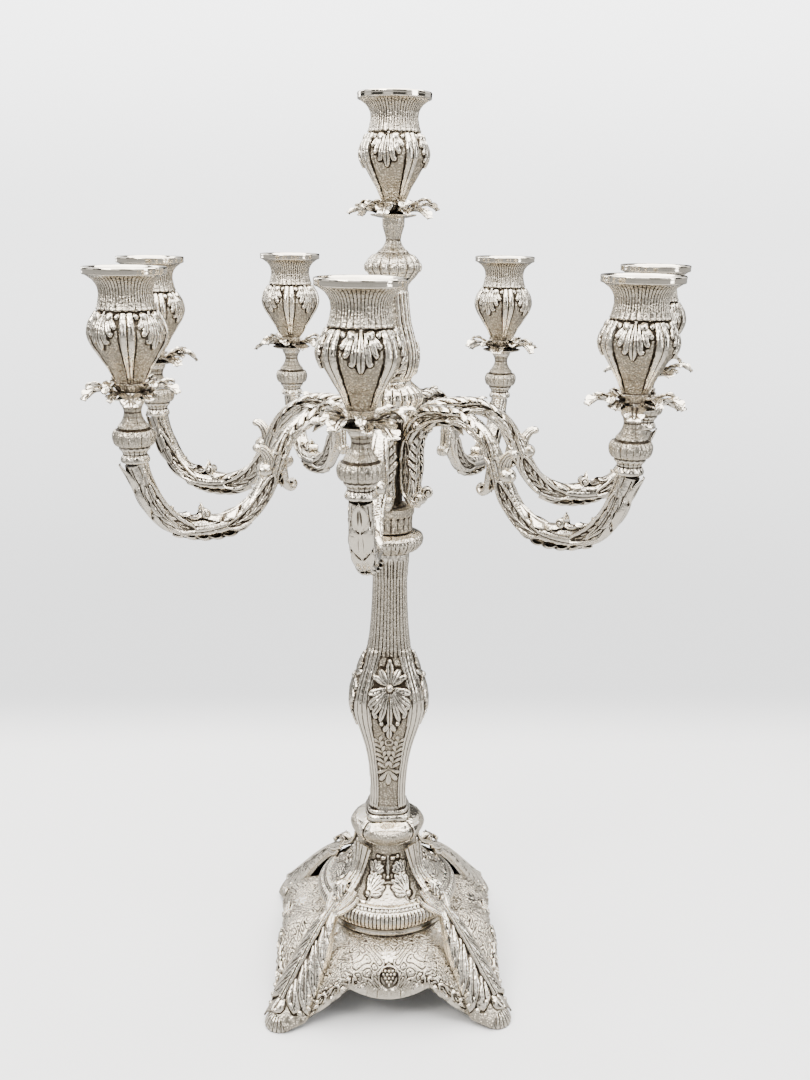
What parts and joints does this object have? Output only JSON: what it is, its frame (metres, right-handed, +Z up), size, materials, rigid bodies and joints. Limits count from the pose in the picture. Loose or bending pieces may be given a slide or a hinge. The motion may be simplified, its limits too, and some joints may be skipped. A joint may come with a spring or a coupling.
{
  "type": "tabletop candelabra",
  "caption": "Tabletop candelabra with scroll arms round a raised centre light, each light with a drip pan, cup and nozzle, on a turned stem and a square footed base.",
  "frame": {"origin": "on the stem axis, at the table that the four toes stand on", "axes": "+Z up the stem, -Y towards the front side of the base, +X to the right seen from the front"},
  "size_m": [0.3883, 0.3805, 0.6],
  "materials": {
    "cast_silver": "satin",
    "polished_silver": "polished",
    "hardware": "satin"
  },
  "bodies": {
    "base": {"base_foot": "cast_silver", "corner_leaf_1": "cast_silver", "corner_leaf_2": "cast_silver", "corner_leaf_3": "cast_silver", "corner_leaf_4": "cast_silver", "milled_ring": "cast_silver", "base_dome": "cast_silver", "dish_collar": "cast_silver", "stem": "cast_silver", "stem_capital": "cast_silver", "tie_rod": "hardware", "base_plate": "hardware", "base_nut": "hardware"},
    "branches": {"branch_hub": "cast_silver", "hub_ring": "cast_silver", "upper_baluster": "cast_silver", "upper_knop": "cast_silver", "centre_rod": "hardware", "hub_screws": "hardware", "light_studs": "hardware", "arm_1": "cast_silver", "arm_2": "cast_silver", "arm_3": "cast_silver", "arm_4": "cast_silver", "arm_5": "cast_silver", "arm_6": "cast_silver", "arm_7": "cast_silver", "arm_knop_1": "cast_silver", "arm_knop_2": "cast_silver", "arm_knop_3": "cast_silver", "arm_knop_4": "cast_silver", "arm_knop_5": "cast_silver", "arm_knop_6": "cast_silver", "arm_knop_7": "cast_silver", "drip_pan_1": "cast_silver", "drip_pan_2": "cast_silver", "drip_pan_3": "cast_silver", "drip_pan_4": "cast_silver", "drip_pan_5": "cast_silver", "drip_pan_6": "cast_silver", "drip_pan_7": "cast_silver", "drip_pan_8": "cast_silver", "candle_cup_1": "cast_silver", "candle_cup_2": "cast_silver", "candle_cup_3": "cast_silver", "candle_cup_4": "cast_silver", "candle_cup_5": "cast_silver", "candle_cup_6": "cast_silver", "candle_cup_7": "cast_silver", "candle_cup_8": "cast_silver"},
    "nozzle_1": {"candle_nozzle_1": "polished_silver"},
    "nozzle_2": {"candle_nozzle_2": "polished_silver"},
    "nozzle_3": {"candle_nozzle_3": "polished_silver"},
    "nozzle_4": {"candle_nozzle_4": "polished_silver"},
    "nozzle_5": {"candle_nozzle_5": "polished_silver"},
    "nozzle_6": {"candle_nozzle_6": "polished_silver"},
    "nozzle_7": {"candle_nozzle_7": "polished_silver"},
    "nozzle_8": {"candle_nozzle_8": "polished_silver"}
  },
  "joints": [
    {"name": "branch_swivel", "type": "hinge", "parent": "base", "child": "branches", "pos_m": [0, 0, 0.33], "axis": [0, 0, 1], "continuous": true},
    {"name": "nozzle_1_lift", "type": "slide", "parent": "branches", "child": "nozzle_1", "axis": [0, 0, 1], "range_m": [0, 0.045]},
    {"name": "nozzle_2_lift", "type": "slide", "parent": "branches", "child": "nozzle_2", "axis": [0, 0, 1], "range_m": [0, 0.045]},
    {"name": "nozzle_3_lift", "type": "slide", "parent": "branches", "child": "nozzle_3", "axis": [0, 0, 1], "range_m": [0, 0.045]},
    {"name": "nozzle_4_lift", "type": "slide", "parent": "branches", "child": "nozzle_4", "axis": [0, 0, 1], "range_m": [0, 0.045]},
    {"name": "nozzle_5_lift", "type": "slide", "parent": "branches", "child": "nozzle_5", "axis": [0, 0, 1], "range_m": [0, 0.045]},
    {"name": "nozzle_6_lift", "type": "slide", "parent": "branches", "child": "nozzle_6", "axis": [0, 0, 1], "range_m": [0, 0.045]},
    {"name": "nozzle_7_lift", "type": "slide", "parent": "branches", "child": "nozzle_7", "axis": [0, 0, 1], "range_m": [0, 0.045]},
    {"name": "nozzle_8_lift", "type": "slide", "parent": "branches", "child": "nozzle_8", "axis": [0, 0, 1], "range_m": [0, 0.045]}
  ]
}
